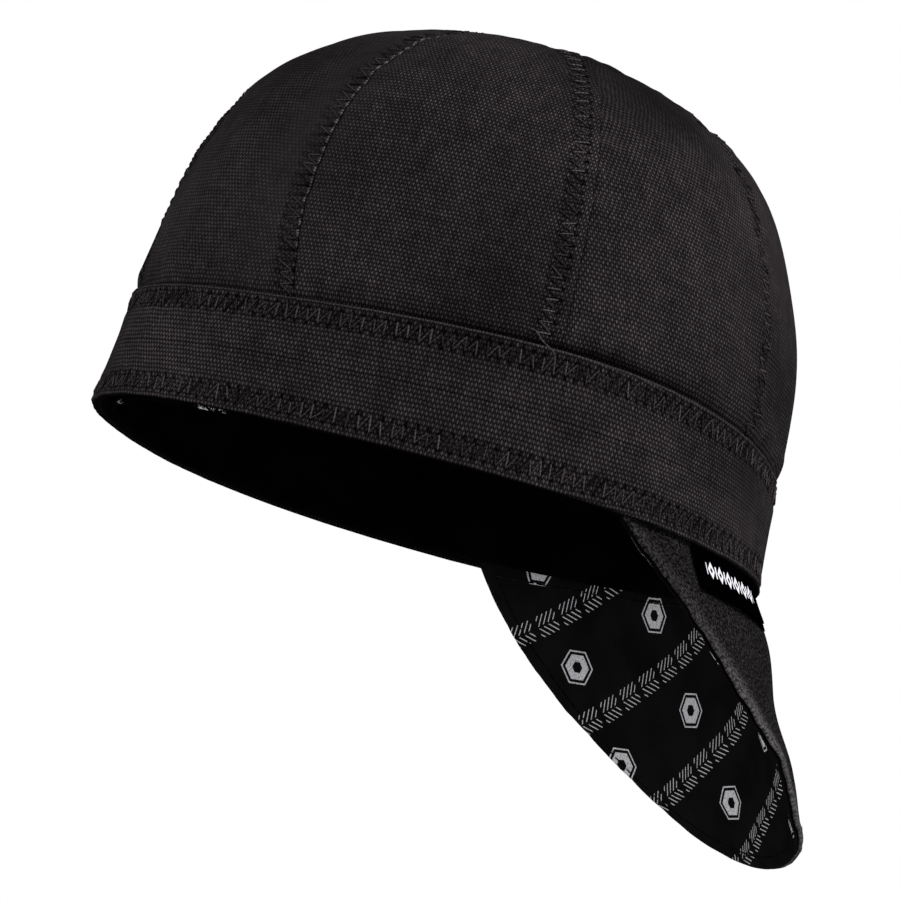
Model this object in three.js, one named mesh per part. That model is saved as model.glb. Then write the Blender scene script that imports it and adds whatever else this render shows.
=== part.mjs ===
// A welder's cap: an eight-panel canvas crown sewn into a doubled band, lined inside, with a
// lined neck flap at the back and a small woven tab under the band on the wearer's left.
// Millimetres. +Z runs up through the crown, -Y is the cap's front and +X the wearer's left.
// The origin is the centre of the head opening, in the plane of the rim.
import * as THREE from 'three';
import { mergeVertices } from 'three/addons/utils/BufferGeometryUtils.js';

// The rim, measured outside the band at its lower edge
const RIM_HALF_LENGTH = 108;
const RIM_HALF_WIDTH = 86.5;
const RIM_END_RISE = 0.8;
const RIM_FRONT_RISE = 0.7;

// The band, and how its top edge differs from the rim
const BAND_HEIGHT = 37.7;
const BAND_WALL = 2.0;
const BAND_FOLD = 0.6;
const BAND_END_LEAN = 2.9;
const BAND_SIDE_FLARE = 1.2;
const BAND_TOP_FORWARD = 0.7;
const BAND_TOP_END_RISE = -2.4;
const BAND_TOP_FRONT_RISE = 1.5;

// The crown's eight panels: the turns of the seams between them, in degrees from the centre
// front to the centre back, the same on either side
const SEAM_DEGREES = [0, 44.4, 93.5, 140, 180];
const CROWN_RISE = 108.6;
const CROWN_CLOTH = 1.4;
const CROWN_HEM = 10;
const CROWN_EASE = 9;
const SEAM_MARGIN = 7;
const SEAM_RAMP = 1.5;
const SEAM_LIFT = 0.8;
const SEAM_DEPTH = 0.5;

// The linings and the neck flap
const LINING_CLOTH = 1.0;
const LINING_EDGE_RISE = 0.5;
const FLAP_DROP = 78;
const FLAP_CLOTH = 1.2;
const FLAP_LINING_CLOTH = 1.0;
const FLAP_HALF_TURN = THREE.MathUtils.degToRad(67.5);
const FLAP_TUCK = 8;
const FLAP_EASE = 20;

// The woven tab
const TAB_START_TURN = THREE.MathUtils.degToRad(128.5);
const TAB_LENGTH = 46;
const TAB_DROP = 13.5;
const TAB_WALL = 1.2;

// What neighbouring pieces keep between them
const CLEARANCE = 0.3;

// How the plan departs from an ellipse, as shares of its radius: the back's diagonals are
// flattened, and the back is fuller than the front
const PLAN = { backFlat: 0.02, backFullness: 0.06 };

// The crown's profile from the band (share 0) to the top (share 1), as powers of the
// superellipse that it follows and the share by which its shoulder is hollowed
const CROWN_FRONT = { height: 2.94, reach: 2.14, hollow: 0.028 };
const CROWN_BACK = { height: 2.41, reach: 2.45, hollow: 0.013 };

// How far the flap stands out as it drops, in shares of its drop: one row for each power of
// the share dropped, at the centre back and what the sides add to it
const FLAP_FLARE = [
  { power: 1, back: 0.2, side: 0.55 },
  { power: 2, back: 0.4, side: 0.44 },
  { power: 3, back: -0.225, side: -0.17 },
];

// Facets
const BAND_COLUMNS = 72;
const LINING_COLUMNS = 40;
const PANEL_COLUMNS = 6;
const CROWN_ROWS = 11;
const PANEL_TIP = 0.9964;
const FLAP_COLUMNS = 24;
const FLAP_ROWS = 14;
const TAB_COLUMNS = 8;
const TAB_ROWS = 3;

const CANVAS = new THREE.MeshStandardMaterial({ color: 0x1f1d1e, roughness: 0.92, metalness: 0 });
const BRUSHED = new THREE.MeshStandardMaterial({ color: 0x2b2a2b, roughness: 0.96, metalness: 0 });
const LINING = new THREE.MeshStandardMaterial({ color: 0x0c0c0c, roughness: 0.85, metalness: 0 });
const WOVEN = new THREE.MeshStandardMaterial({ color: 0x070707, roughness: 0.6, metalness: 0 });

const RIM = {
  halfLength: RIM_HALF_LENGTH,
  halfWidth: RIM_HALF_WIDTH,
  forward: 0,
  height: 0,
  endRise: RIM_END_RISE,
  frontRise: RIM_FRONT_RISE,
};
const BAND_TOP = {
  halfLength: RIM_HALF_LENGTH - BAND_END_LEAN,
  halfWidth: RIM_HALF_WIDTH + BAND_SIDE_FLARE,
  forward: BAND_TOP_FORWARD,
  height: BAND_HEIGHT,
  endRise: BAND_TOP_END_RISE,
  frontRise: BAND_TOP_FRONT_RISE,
};

// Depths below the cap's outside face, layer by layer
const HEM_DEPTH = BAND_WALL + CLEARANCE;
const FLAP_STACK = FLAP_CLOTH + CLEARANCE + FLAP_LINING_CLOTH + CLEARANCE;
const LINING_RIM_DEPTH = HEM_DEPTH + FLAP_STACK;
const LINING_CROWN_DEPTH = CROWN_CLOTH + SEAM_DEPTH + CLEARANCE;

const PANELS = 2 * (SEAM_DEGREES.length - 1);
const FULL_TURN = 2 * Math.PI;
const QUARTER_TURN = Math.PI / 2;
const SLOPE_STEP = 1e-3;
const SAME_POINT = 1e-5;

const { lerp, smoothstep } = THREE.MathUtils;
const steps = (count, from, to) => Array.from({ length: count + 1 }, (_, i) => lerp(from, to, i / count));

// How much a turn, counted from the front towards the wearer's left, belongs to the front
const frontShare = (turn) => 0.5 + 0.5 * Math.cos(turn);

// A point on one of the cap's level outlines
function ringPoint(ring, turn) {
  const toFront = Math.cos(turn);
  const toLeft = Math.sin(turn);
  const radius = 1 - PLAN.backFlat * (1 - frontShare(turn)) * Math.sin(2 * turn) ** 2;
  return new THREE.Vector3(
    ring.halfWidth * toLeft * radius * (1 - PLAN.backFullness * toFront),
    -ring.forward - ring.halfLength * toFront * radius,
    ring.height + ring.endRise * Math.cos(2 * turn) + ring.frontRise * Math.cos(3 * turn),
  );
}

// The band's outside face, at a height above the rim
function bandFace(turn, height) {
  return ringPoint(RIM, turn).lerp(ringPoint(BAND_TOP, turn), height / BAND_HEIGHT);
}

// The crown's outside face, from 0 at the band to 1 at the top
function crownFace(turn, climb) {
  const share = Math.sin(climb * QUARTER_TURN);
  const reachOf = ({ height, reach, hollow }) =>
    Math.max(1 - Math.max(share, 0) ** height, 0) ** (1 / reach) * (1 - hollow * Math.sin(Math.PI * share));
  const reach = lerp(reachOf(CROWN_BACK), reachOf(CROWN_FRONT), frontShare(turn));
  const foot = ringPoint(BAND_TOP, turn);
  const wave = (foot.z - BAND_TOP.height) * (1 - share);
  return new THREE.Vector3(
    foot.x * reach,
    -BAND_TOP.forward + (foot.y + BAND_TOP.forward) * reach,
    BAND_TOP.height + wave + CROWN_RISE * share,
  );
}

// The unit vector that points level and outward from the rim
function levelOutward(turn) {
  const along = ringPoint(RIM, turn + SLOPE_STEP).sub(ringPoint(RIM, turn - SLOPE_STEP));
  return new THREE.Vector3(along.y, -along.x, 0).normalize();
}

// The flap's outside face, at a drop below the rim
function flapFace(turn, drop) {
  const share = drop / FLAP_DROP;
  const atSide = 1 + Math.cos(turn);
  const flareOf = ({ power, back, side }) => (back + side * atSide) * share ** power;
  const flare = FLAP_FLARE.reduce((sum, row) => sum + flareOf(row), 0);
  const tucked = HEM_DEPTH * (1 - smoothstep(drop, 0, FLAP_EASE));
  const point = ringPoint(RIM, turn).addScaledVector(levelOutward(turn), FLAP_DROP * flare - tucked);
  point.z -= drop;
  return point;
}

// The outward normal of a face at a turn and a level that grows upward. At the crown's very
// top the face has shrunk to a point, and its normal is straight up.
function outward(face, turn, level) {
  const along = face(turn + SLOPE_STEP, level).sub(face(turn - SLOPE_STEP, level));
  const up = face(turn, level + SLOPE_STEP).sub(face(turn, level - SLOPE_STEP));
  return along.length() < SAME_POINT ? new THREE.Vector3(0, 0, 1) : along.cross(up).normalize();
}

// A point a depth below a face
function below(face, turn, level, depth) {
  return face(turn, level).addScaledVector(outward(face, turn, level), -depth);
}

// The turn of a seam, counted on round from the centre front
function seamTurn(index) {
  const turn = THREE.MathUtils.degToRad(SEAM_DEGREES[Math.min(index, PANELS - index)]);
  return index > PANELS / 2 ? FULL_TURN - turn : turn;
}

// How far a face runs at a level for each radian of turn
function runPerTurn(face, turn, level) {
  return face(turn + SLOPE_STEP, level).distanceTo(face(turn - SLOPE_STEP, level)) / (2 * SLOPE_STEP);
}

// A closed wall of cloth between two grids of points, with rows from the bottom up and
// columns along the turn. A row may shrink to one point, and a wall may go all the way round.
function clothWall(name, material, outer, inner, goesRound = false) {
  const rows = outer.length;
  const columns = outer[0].length;
  const points = [...outer.flat(), ...inner.flat()];
  const triangles = [];
  const outerAt = (row, column) => row * columns + (column % columns);
  const innerAt = (row, column) => rows * columns + outerAt(row, column);
  const addTriangle = (a, b, c) => {
    const apart = ([from, to]) => points[from].distanceTo(points[to]) > SAME_POINT;
    if ([[a, b], [b, c], [c, a]].every(apart)) triangles.push(a, b, c);
  };
  const addQuad = (a, b, c, d) => {
    addTriangle(a, b, c);
    addTriangle(a, c, d);
  };
  const spans = goesRound ? columns : columns - 1;
  for (let column = 0; column < spans; column += 1) {
    const next = column + 1;
    for (let row = 0; row < rows - 1; row += 1) {
      addQuad(outerAt(row, column), outerAt(row, next), outerAt(row + 1, next), outerAt(row + 1, column));
      addQuad(innerAt(row, column), innerAt(row + 1, column), innerAt(row + 1, next), innerAt(row, next));
    }
    addQuad(outerAt(0, next), outerAt(0, column), innerAt(0, column), innerAt(0, next));
    const top = rows - 1;
    addQuad(outerAt(top, column), outerAt(top, next), innerAt(top, next), innerAt(top, column));
  }
  if (!goesRound) {
    const last = columns - 1;
    for (let row = 0; row < rows - 1; row += 1) {
      addQuad(innerAt(row, 0), outerAt(row, 0), outerAt(row + 1, 0), innerAt(row + 1, 0));
      addQuad(outerAt(row, last), innerAt(row, last), innerAt(row + 1, last), outerAt(row + 1, last));
    }
  }
  const geometry = new THREE.BufferGeometry().setFromPoints(points);
  geometry.setIndex(triangles);
  const merged = mergeVertices(geometry);
  merged.computeVertexNormals();
  const mesh = new THREE.Mesh(merged, material);
  mesh.name = name;
  return mesh;
}

// The band: a strip folded double, its fold and hem rounded off
function makeBand() {
  const turns = steps(BAND_COLUMNS, 0, FULL_TURN).slice(0, -1);
  const edgeDepth = BAND_WALL / 4;
  const rows = [
    { height: 0, depth: edgeDepth },
    { height: BAND_FOLD, depth: 0 },
    { height: BAND_HEIGHT - BAND_FOLD, depth: 0 },
    { height: BAND_HEIGHT, depth: edgeDepth },
  ];
  const ringAt = (height, depth) => turns.map((turn) => below(bandFace, turn, height, depth));
  const outer = rows.map(({ height, depth }) => ringAt(height, depth));
  const inner = rows.map(({ height, depth }) => ringAt(height, BAND_WALL - depth));
  return clothWall('crown_band', CANVAS, outer, inner, true);
}

// The crown comes out from under the band and swells to its full size over the ease
const easeShare = (climb) => smoothstep(CROWN_RISE * Math.sin(climb * QUARTER_TURN), 0, CROWN_EASE);
const EASE_CLIMB = Math.asin(CROWN_EASE / CROWN_RISE) / QUARTER_TURN;
const CROWN_CLIMBS = [0, EASE_CLIMB / 2, ...steps(CROWN_ROWS, EASE_CLIMB, PANEL_TIP)];

// One level of a panel: the turns of its columns, and which of them the seam raises. The
// seam allowances lie folded under the edge towards the next panel.
function panelRow(face, level, firstTurn, lastTurn) {
  const from = firstTurn + CLEARANCE / 2 / runPerTurn(face, firstTurn, level);
  const to = lastTurn - CLEARANCE / 2 / runPerTurn(face, lastTurn, level);
  const turnPerRun = 1 / runPerTurn(face, lastTurn, level);
  const margin = Math.min(SEAM_MARGIN * turnPerRun, (to - from) / 2);
  const ramp = Math.min(SEAM_RAMP * turnPerRun, (to - from) / 8);
  const plain = steps(PANEL_COLUMNS, from, to - margin - ramp).map((turn) => ({ turn, raised: 0 }));
  const raised = steps(1, to - margin, to).map((turn) => ({ turn, raised: 1 }));
  return [...plain, ...raised];
}

// One crown panel, from its hem inside the band to its tip at the top
function makePanel(index) {
  const firstTurn = seamTurn(index);
  const lastTurn = seamTurn(index + 1);
  const hem = [CROWN_HEM, CROWN_HEM / 2].map((hidden) => ({
    face: bandFace, level: BAND_HEIGHT - hidden, depth: HEM_DEPTH, lift: 0,
  }));
  const crown = CROWN_CLIMBS.map((level) => ({
    face: crownFace, level, depth: HEM_DEPTH * (1 - easeShare(level)), lift: SEAM_LIFT * easeShare(level),
  }));
  const outer = [];
  const inner = [];
  for (const { face, level, depth, lift } of [...hem, ...crown]) {
    const columns = panelRow(face, level, firstTurn, lastTurn);
    const back = depth + CROWN_CLOTH;
    outer.push(columns.map(({ turn, raised }) => below(face, turn, level, depth - raised * lift)));
    inner.push(columns.map(({ turn, raised }) => below(face, turn, level, back + raised * SEAM_DEPTH)));
  }
  return clothWall(`crown_panel_${index + 1}`, CANVAS, outer, inner);
}

// The lining: a dome inside the panels, the band and the flap's tucked edge
function makeLining() {
  const turns = steps(LINING_COLUMNS, 0, FULL_TURN).slice(0, -1);
  const footDepth = HEM_DEPTH + LINING_CROWN_DEPTH;
  const inBand = [
    { face: bandFace, level: LINING_EDGE_RISE, depth: LINING_RIM_DEPTH },
    { face: bandFace, level: FLAP_TUCK + BAND_WALL, depth: LINING_RIM_DEPTH },
  ];
  const inCrown = [...CROWN_CLIMBS, 1].map((climb) => ({
    face: crownFace, level: climb, depth: lerp(footDepth, LINING_CROWN_DEPTH, easeShare(climb)),
  }));
  const outer = [];
  const inner = [];
  for (const { face, level, depth } of [...inBand, ...inCrown]) {
    outer.push(turns.map((turn) => below(face, turn, level, depth)));
    inner.push(turns.map((turn) => below(face, turn, level, depth + LINING_CLOTH)));
  }
  return clothWall('crown_lining', LINING, outer, inner, true);
}

// One layer of the flap, from its round tip up to the edge tucked inside the band. The
// flap's edge runs in towards the centre back as the square root of the drop that is left.
function makeFlapLayer(name, material, depth, cloth) {
  const hangingFace = (turn, level) => flapFace(turn, -level);
  const widths = steps(FLAP_ROWS, 0, QUARTER_TURN).map(Math.sin);
  const hanging = widths.map((width) => ({
    face: hangingFace, level: FLAP_DROP * (width ** 2 - 1), depth, halfTurn: FLAP_HALF_TURN * width,
  }));
  const tucked = { face: bandFace, level: FLAP_TUCK, depth: depth + HEM_DEPTH, halfTurn: FLAP_HALF_TURN };
  const outer = [];
  const inner = [];
  for (const row of [...hanging, tucked]) {
    const turns = steps(FLAP_COLUMNS, Math.PI - row.halfTurn, Math.PI + row.halfTurn);
    outer.push(turns.map((turn) => below(row.face, turn, row.level, row.depth)));
    inner.push(turns.map((turn) => below(row.face, turn, row.level, row.depth + cloth)));
  }
  return clothWall(name, material, outer, inner);
}

// The woven tab, which hangs from the band's lower edge over the flap
function makeTab() {
  const tabTurn = TAB_LENGTH / runPerTurn(bandFace, TAB_START_TURN, 0);
  const turns = steps(TAB_COLUMNS, TAB_START_TURN, TAB_START_TURN + tabTurn);
  const drops = steps(TAB_ROWS, TAB_DROP, CLEARANCE);
  const off = (distance) => drops.map((drop) =>
    turns.map((turn) => flapFace(turn, drop).addScaledVector(levelOutward(turn), distance)));
  return clothWall('side_tab', WOVEN, off(CLEARANCE + TAB_WALL), off(CLEARANCE));
}

const cap = new THREE.Group();
cap.add(makeBand());
for (let index = 0; index < PANELS; index += 1) cap.add(makePanel(index));
cap.add(makeLining());
cap.add(makeFlapLayer('neck_flap', BRUSHED, 0, FLAP_CLOTH));
cap.add(makeFlapLayer('neck_flap_lining', LINING, FLAP_CLOTH + CLEARANCE, FLAP_LINING_CLOTH));
cap.add(makeTab());

export default cap;
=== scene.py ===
"""The looks of a welder's cap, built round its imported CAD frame.

Metres, in the CAD's frame: +Z up through the crown, -Y the cap's front and +X the wearer's
left. A turn is counted from the front towards the wearer's left. The cap's surfaces are the
CAD's own, so that every cloth piece lies where its solid does.
"""
import math

import bmesh
import bpy
import numpy as np
from mathutils import Matrix, Vector


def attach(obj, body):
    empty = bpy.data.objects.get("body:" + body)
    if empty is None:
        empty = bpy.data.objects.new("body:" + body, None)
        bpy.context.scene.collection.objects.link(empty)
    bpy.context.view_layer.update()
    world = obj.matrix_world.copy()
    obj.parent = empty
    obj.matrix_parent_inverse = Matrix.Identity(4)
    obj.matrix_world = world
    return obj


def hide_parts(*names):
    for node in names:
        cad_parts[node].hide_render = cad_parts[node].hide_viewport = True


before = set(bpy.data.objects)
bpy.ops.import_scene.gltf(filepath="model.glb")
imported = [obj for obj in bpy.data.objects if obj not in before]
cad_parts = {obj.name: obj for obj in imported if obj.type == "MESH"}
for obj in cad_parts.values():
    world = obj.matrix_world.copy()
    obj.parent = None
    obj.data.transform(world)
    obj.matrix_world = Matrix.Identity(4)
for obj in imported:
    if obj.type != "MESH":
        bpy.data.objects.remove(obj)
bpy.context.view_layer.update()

MM = 0.001
RNG = np.random.default_rng(20)

# Sizes in millimetres, as in the CAD source
RIM = dict(length=108.0, width=86.5, forward=0.0, height=0.0, end_rise=0.8, front_rise=0.7)
BAND_TOP = dict(length=105.1, width=87.7, forward=0.7, height=37.7, end_rise=-2.4, front_rise=1.5)
BAND_HEIGHT = 37.7
BAND_WALL = 2.0
SEAM_DEGREES = (0, 44.4, 93.5, 140, 180, 220, 266.5, 315.6, 360)
PANELS = len(SEAM_DEGREES) - 1
CROWN_RISE = 108.6
CROWN_CLOTH = 1.4
CROWN_HEM = 10.0
CROWN_EASE = 9.0
SEAM_MARGIN = 7.0
SEAM_DEPTH = 0.5
LINING_CLOTH = 1.0
LINING_EDGE_RISE = 0.5
FLAP_DROP = 78.0
FLAP_CLOTH = 1.2
FLAP_LINING_CLOTH = 1.0
FLAP_HALF_TURN = math.radians(67.5)
FLAP_TUCK = 8.0
FLAP_EASE = 20.0
TAB_START_TURN = math.radians(128.5)
TAB_LENGTH = 46.0
TAB_DROP = 13.5
CLEARANCE = 0.3
BACK_FLAT = 0.02
BACK_FULLNESS = 0.06
CROWN_FRONT = (2.94, 2.14, 0.028)
CROWN_BACK = (2.41, 2.45, 0.013)
FLAP_FLARE = ((1, 0.2, 0.55), (2, 0.4, 0.44), (3, -0.225, -0.17))

HEM_DEPTH = BAND_WALL + CLEARANCE
FLAP_STACK = FLAP_CLOTH + CLEARANCE + FLAP_LINING_CLOTH + CLEARANCE
LINING_RIM_DEPTH = HEM_DEPTH + FLAP_STACK
LINING_CROWN_DEPTH = CROWN_CLOTH + SEAM_DEPTH + CLEARANCE
QUARTER = math.pi / 2
STEP = 1e-3

# Zigzag rows: half the width of the zigzag, its period, how far along the period its short leg
# goes, how far its grooves lie beside its threads, the thread's radius, the pitch of the beads of
# worn, painted highlight on a fold, and how far the rows lie from the edge or fold that they follow
ZIG_HALF = 2.2
ZIG_PERIOD = 3.5
ZIG_LEAN = 0.16
GROOVE_SHIFT = 0.3
THREAD = 0.21
BEAD_PITCH = 0.93
BAND_ZIG_LOW = 4.9
BAND_ZIG_TOP = 4.6

# The seams, from the centre front's left neighbour round to the centre front: how far the zigzag
# lies from the folded edge, how much of the raised margin shows, how strong the painted shadow line
# beside the fold and the worn, painted highlight on the fold are, and how light the zigzag's short and
# long legs are, the short ones with a painted highlight and the long ones in painted shade
SEAM_ZIGS = (2.7, 5.9, 2.8, 3.6, 3.0, 4.8, 3.2, 3.4)
SEAM_RAISES = (1.0, 0.75, 0.9, 1.0, 1.0, 0.9, 1.0, 0.15)
SEAM_LINES = (0.95, 0.35, 0.7, 0.7, 0.8, 0.6, 0.8, 0.5)
SEAM_TONES = ((0.36, 0.30), (0.85, 0.34), (0.50, 0.36)) + ((0.6, 0.2),) * 5

# How a seam sways from the plain one, as it was sewn: climb, its spread and degrees, by seam
SEAM_SWAYS = {1: ((0.0, 0.10, 3.2), (0.42, 0.20, -1.3))}

# How far the cloth stands off the CAD's plain form, in millimetres. Turns and their spreads are
# in degrees, and levels are climbs on the crown, heights on the band and drops on the flap.
FORM_COLUMNS = ("turn", "wide", "level", "tall", "rise")
CROWN_FORM = (
    (-14, 34, 0.42, 0.20, -0.9),
    (4, 32, 0.47, 0.09, 1.3),
    (165, 22, 0.24, 0.12, 0.9),
    (168, 24, 0.60, 0.10, 1.1),
    (80, 10, 0.22, 0.20, -1.5),
    (104, 9, 0.16, 0.14, 0.9),
    (66, 9, 0.55, 0.22, 0.6),
    (118, 12, 0.45, 0.25, 0.5),
)
FLAP_FORM = (
    (160, 18, 16, 12, 1.1),
    (154, 16, 52, 14, 1.3),
    (168, 14, 75, 8, 1.5),
    (205, 20, 40, 18, -0.8),
)
BAND_FORM = (
    (166, 20, 20, 15, -1.1),
    (-8, 22, 1, 7, 0.9),
    (60, 16, 20, 14, 0.35),
    (100, 14, 18, 12, -0.4),
)

# How plain the weave has become, in shares of 1, and how much painted shade darkens the cloth, and
# where the share is below 0 how much painted light lightens it. Places are given as in the tables of
# forms.
CROWN_WEAR = (
    (-2, 24, 0.35, 0.5, 0.68),
    (38, 8, 0.45, 0.45, 0.65),
    (30, 45, 0.85, 0.25, 0.45),
    (112, 24, 0.72, 0.15, 0.5),
    (150, 20, 0.40, 0.4, 0.4),
)
CROWN_PAINTED_SHADING = (
    (108, 30, 0.78, 0.17, 0.62),
    (115, 18, 0.60, 0.10, 0.40),
    (30, 18, 0.55, 0.10, 0.17),
    (91, 6, 0.30, 0.14, -0.22),
    (8, 36, 0.52, 0.24, 0.30),
    (0, 14, 0.04, 0.07, 0.35),
    (82, 9, 0.08, 0.14, 0.40),
    (147, 14, 0.11, 0.10, 0.45),
    (165, 14, 0.3, 0.4, 0.1),
)
BAND_WEAR = (
    (-8, 13, 19, 30, 0.85),
    (146, 12, 20, 25, 0.5),
)
BAND_PAINTED_SHADING = (
    (-7, 9, 26, 18, 0.55),
    (27, 16, 20, 24, -0.30),
    (140, 12, 30, 14, 0.45),
    (80, 10, 34, 14, 0.25),
)

# The height of a plain weave, how far apart the lines of the flap's print are, the print's flecks
# inside the rim, as the middle and half the length of each, and the tape's ribs and picks
PLAIN_RELIEF = 0.47
PRINT_ROWS = 31.0
FLECK_ZONES = ((7.5, 3.5), (58.0, 6.0))
TAPE_RIB = 0.42
TAPE_PICK = 0.55

# How far the band's far lower edge hangs below the CAD's, and how far its top edge climbs in front
FAR_RIM_DROP = 1.1
FRONT_TOP_RISE = 1.4

# How far a panel's folded edge reaches over the next panel, how far the crown puffs over the band,
# the turn and spread where it puffs least, in degrees, and how much a panel's grain slants
LIP = 0.45
PUFF = 1.2
OPEN_FOOT = (104, 20)
BIAS = {2: 0.13}

# How far the straight rows lie from the flap's free edge and below the rim
EDGE_ROW = 3.6
RIM_ROW = 1.4

# On a map, a distance that is past every mark
FAR_OFF = 20.0

# About how far from the middle each cloth lies, for lengths along a turn
CROWN_RADIUS = 75
FOOT_RADIUS = 95
LINING_RADIUS = 90
FLAP_RADIUS = 100

# The floor in metres, and the camera in degrees, millimetres and the picture's pixels
FLOOR_RADIUS = 4.0
FLOOR_LEVEL = -0.32
CAMERA_AZIMUTH = 77.04
CAMERA_ELEVATION = -9.68
CAMERA_ROLL = 14.92
CAMERA_DISTANCE = 1564.3
CAMERA_FOCAL = 5068.2
CAMERA_AIM = (21.6, 54.7)
PICTURE_WIDTH = 900
SENSOR_WIDTH = 36.0

# Soft pleats in the crown's foot beside a seam: the seam, the place along the band to the left
# of it, how far the pleat leans for each millimetre up, its half width, its depth and its height
PLEATS = (
    (2, 2.6, 0.10, 1.5, -0.55, 22),
    (2, 6.0, 0.24, 1.6, 0.45, 26),
    (2, 9.5, 0.10, 1.9, -0.60, 17),
    (2, 15.0, -0.10, 2.6, 0.35, 20),
    (2, -4.5, -0.22, 2.2, -0.40, 18),
    (2, -10.0, -0.30, 2.6, 0.35, 15),
    (1, -5.0, 0.10, 2.4, -0.30, 20),
    (1, 9.0, -0.12, 2.8, -0.25, 24),
    (3, 5.0, 0.20, 2.2, -0.45, 20),
    (3, 11.0, 0.10, 2.6, 0.35, 22),
    (3, -6.0, -0.20, 2.4, -0.40, 18),
    (5, 5.0, 0.15, 2.2, -0.40, 18),
    (6, 7.0, -0.15, 2.4, -0.45, 20),
    (6, -6.0, 0.20, 2.2, 0.35, 18),
    (7, 4.0, 0.20, 2.2, -0.35, 16),
    (8, 8.0, -0.10, 2.6, -0.25, 18),
)


# The cap's surfaces

def smooth(value, low, high):
    share = np.clip((value - low) / (high - low), 0, 1)
    return share * share * (3 - 2 * share)


def mix(a, b, share):
    return a + (b - a) * share


def front_share(turn):
    return 0.5 + 0.5 * np.cos(turn)


def ring_point(ring, turn):
    radius = 1 - BACK_FLAT * (1 - front_share(turn)) * np.sin(2 * turn) ** 2
    x = ring["width"] * np.sin(turn) * radius * (1 - BACK_FULLNESS * np.cos(turn))
    y = -ring["forward"] - ring["length"] * np.cos(turn) * radius
    z = ring["height"] + ring["end_rise"] * np.cos(2 * turn) + ring["front_rise"] * np.cos(3 * turn)
    return np.stack(np.broadcast_arrays(x, y, z), -1)


def band_face(turn, height):
    share = np.asarray(height)[..., None] / BAND_HEIGHT
    return mix(ring_point(RIM, turn), ring_point(BAND_TOP, turn), share)


def crown_face(turn, climb):
    share = np.sin(np.asarray(climb) * QUARTER)

    def reach_of(shape):
        power, spread, hollow = shape
        dome = np.maximum(1 - np.maximum(share, 0) ** power, 0) ** (1 / spread)
        return dome * (1 - hollow * np.sin(math.pi * share))

    reach = mix(reach_of(CROWN_BACK), reach_of(CROWN_FRONT), front_share(turn))
    foot = ring_point(BAND_TOP, turn)
    forward = BAND_TOP["forward"]
    wave = (foot[..., 2] - BAND_HEIGHT) * (1 - share)
    x = foot[..., 0] * reach
    y = -forward + (foot[..., 1] + forward) * reach
    z = BAND_HEIGHT + wave + CROWN_RISE * share
    return np.stack(np.broadcast_arrays(x, y, z), -1)


def level_outward(turn):
    along = ring_point(RIM, turn + STEP) - ring_point(RIM, turn - STEP)
    out = np.stack([along[..., 1], -along[..., 0], np.zeros_like(along[..., 0])], -1)
    return out / np.linalg.norm(out, axis=-1, keepdims=True)


def flap_face(turn, level):
    drop = -np.asarray(level, float)
    share = drop / FLAP_DROP
    at_side = 1 + np.cos(turn)
    flare = sum((back + side * at_side) * share ** power for power, back, side in FLAP_FLARE)
    tucked = HEM_DEPTH * (1 - smooth(drop, 0, FLAP_EASE))
    point = ring_point(RIM, turn) + level_outward(turn) * (FLAP_DROP * flare - tucked)[..., None]
    point[..., 2] -= drop
    return point


def outward(face, turn, level):
    along = face(turn + STEP, level) - face(turn - STEP, level)
    up = face(turn, level + STEP) - face(turn, level - STEP)
    out = np.cross(along, up)
    size = np.linalg.norm(out, axis=-1, keepdims=True)
    flat = np.linalg.norm(along, axis=-1, keepdims=True) < 1e-5
    return np.where(flat, [0.0, 0.0, 1.0], out / np.maximum(size, 1e-12))


def below(face, turn, level, depth):
    turn, level = np.broadcast_arrays(np.asarray(turn, float), np.asarray(level, float))
    depth = np.asarray(depth, float)
    return face(turn, level) - outward(face, turn, level) * depth[..., None]


def run_per_turn(face, turn, level):
    step = face(turn + STEP, level) - face(turn - STEP, level)
    return np.linalg.norm(step, axis=-1) / (2 * STEP)


def run_along(face, turn, levels):
    """How far the face runs from the first of the levels to each of them."""
    points = face(np.full(len(levels), turn), levels)
    steps = np.linalg.norm(np.diff(points, axis=0), axis=1)
    return np.concatenate([[0], np.cumsum(steps)])


def near(value, middle, spread):
    """1 at the middle, falling off over about the spread."""
    return np.exp(-(((value - middle) / spread) ** 2))


def turn_near(turn, middle, spread):
    off = (np.degrees(turn) - middle + 180) % 360 - 180
    return np.exp(-((off / spread) ** 2))


def form(table, turn, level):
    total = 0
    for row in table:
        row = dict(zip(FORM_COLUMNS, row))
        there = turn_near(turn, row["turn"], row["wide"]) * near(level, row["level"], row["tall"])
        total = total + row["rise"] * there
    return total


# Unevenness of cloth: sums of waves whose phases are drawn once, from the seeded generator

class Waves:
    """A smooth random field of two lengths in millimetres, from about -1 to 1."""

    def __init__(self, size_a, size_b, count=9):
        angle = RNG.uniform(0, 2 * math.pi, count)
        pace = 2 * math.pi * RNG.uniform(0.6, 1.5, count)
        self.a = pace * np.cos(angle) / size_a
        self.b = pace * np.sin(angle) / size_b
        self.phase = RNG.uniform(0, 2 * math.pi, count)
        self.scale = 1.3 / math.sqrt(count)

    def __call__(self, a, b):
        total = 0
        for k_a, k_b, phase in zip(self.a, self.b, self.phase):
            total = total + np.sin(k_a * a + k_b * b + phase)
        return total * self.scale


class Ripples:
    """A smooth random field of one length, from about -1 to 1."""

    def __init__(self, size, count=7):
        self.pace = 2 * math.pi * RNG.uniform(0.55, 1.6, count) / size
        self.phase = RNG.uniform(0, 2 * math.pi, count)
        self.scale = 1.3 / math.sqrt(count)

    def __call__(self, a):
        total = 0
        for pace, phase in zip(self.pace, self.phase):
            total = total + np.sin(pace * a + phase)
        return total * self.scale


# Meshes

def pair(a, b):
    """A map's two coordinates, from two numbers or grids."""
    return np.stack(np.broadcast_arrays(a, b), -1)


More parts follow.
